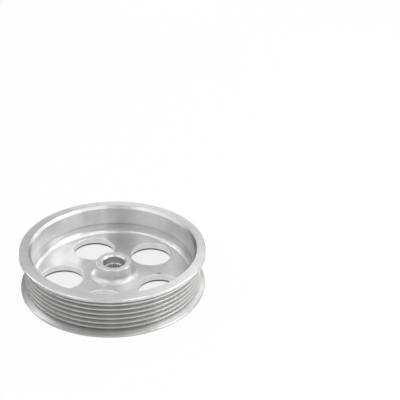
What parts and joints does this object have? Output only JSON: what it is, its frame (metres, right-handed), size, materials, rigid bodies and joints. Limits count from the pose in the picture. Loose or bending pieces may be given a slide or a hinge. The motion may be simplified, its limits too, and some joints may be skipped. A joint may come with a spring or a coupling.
{
  "type": "pulley",
  "caption": "Cup-shaped flanged pulley for a ribbed belt, with V grooves, a web with round lightening holes and a short hub with a serrated bore.",
  "frame": {"origin": "centre of the flat land round the outer face, on the bore axis, at the lowest point of the part", "axes": "+Z along the bore axis, from the outer face to the open mouth of the cup; one lightening hole lies on +Y"},
  "size_m": [0.132, 0.132, 0.0296],
  "materials": {
    "machined_aluminium": "satin, fine turned"
  },
  "bodies": {
    "root": {"pulley": "machined_aluminium"}
  },
  "joints": []
}
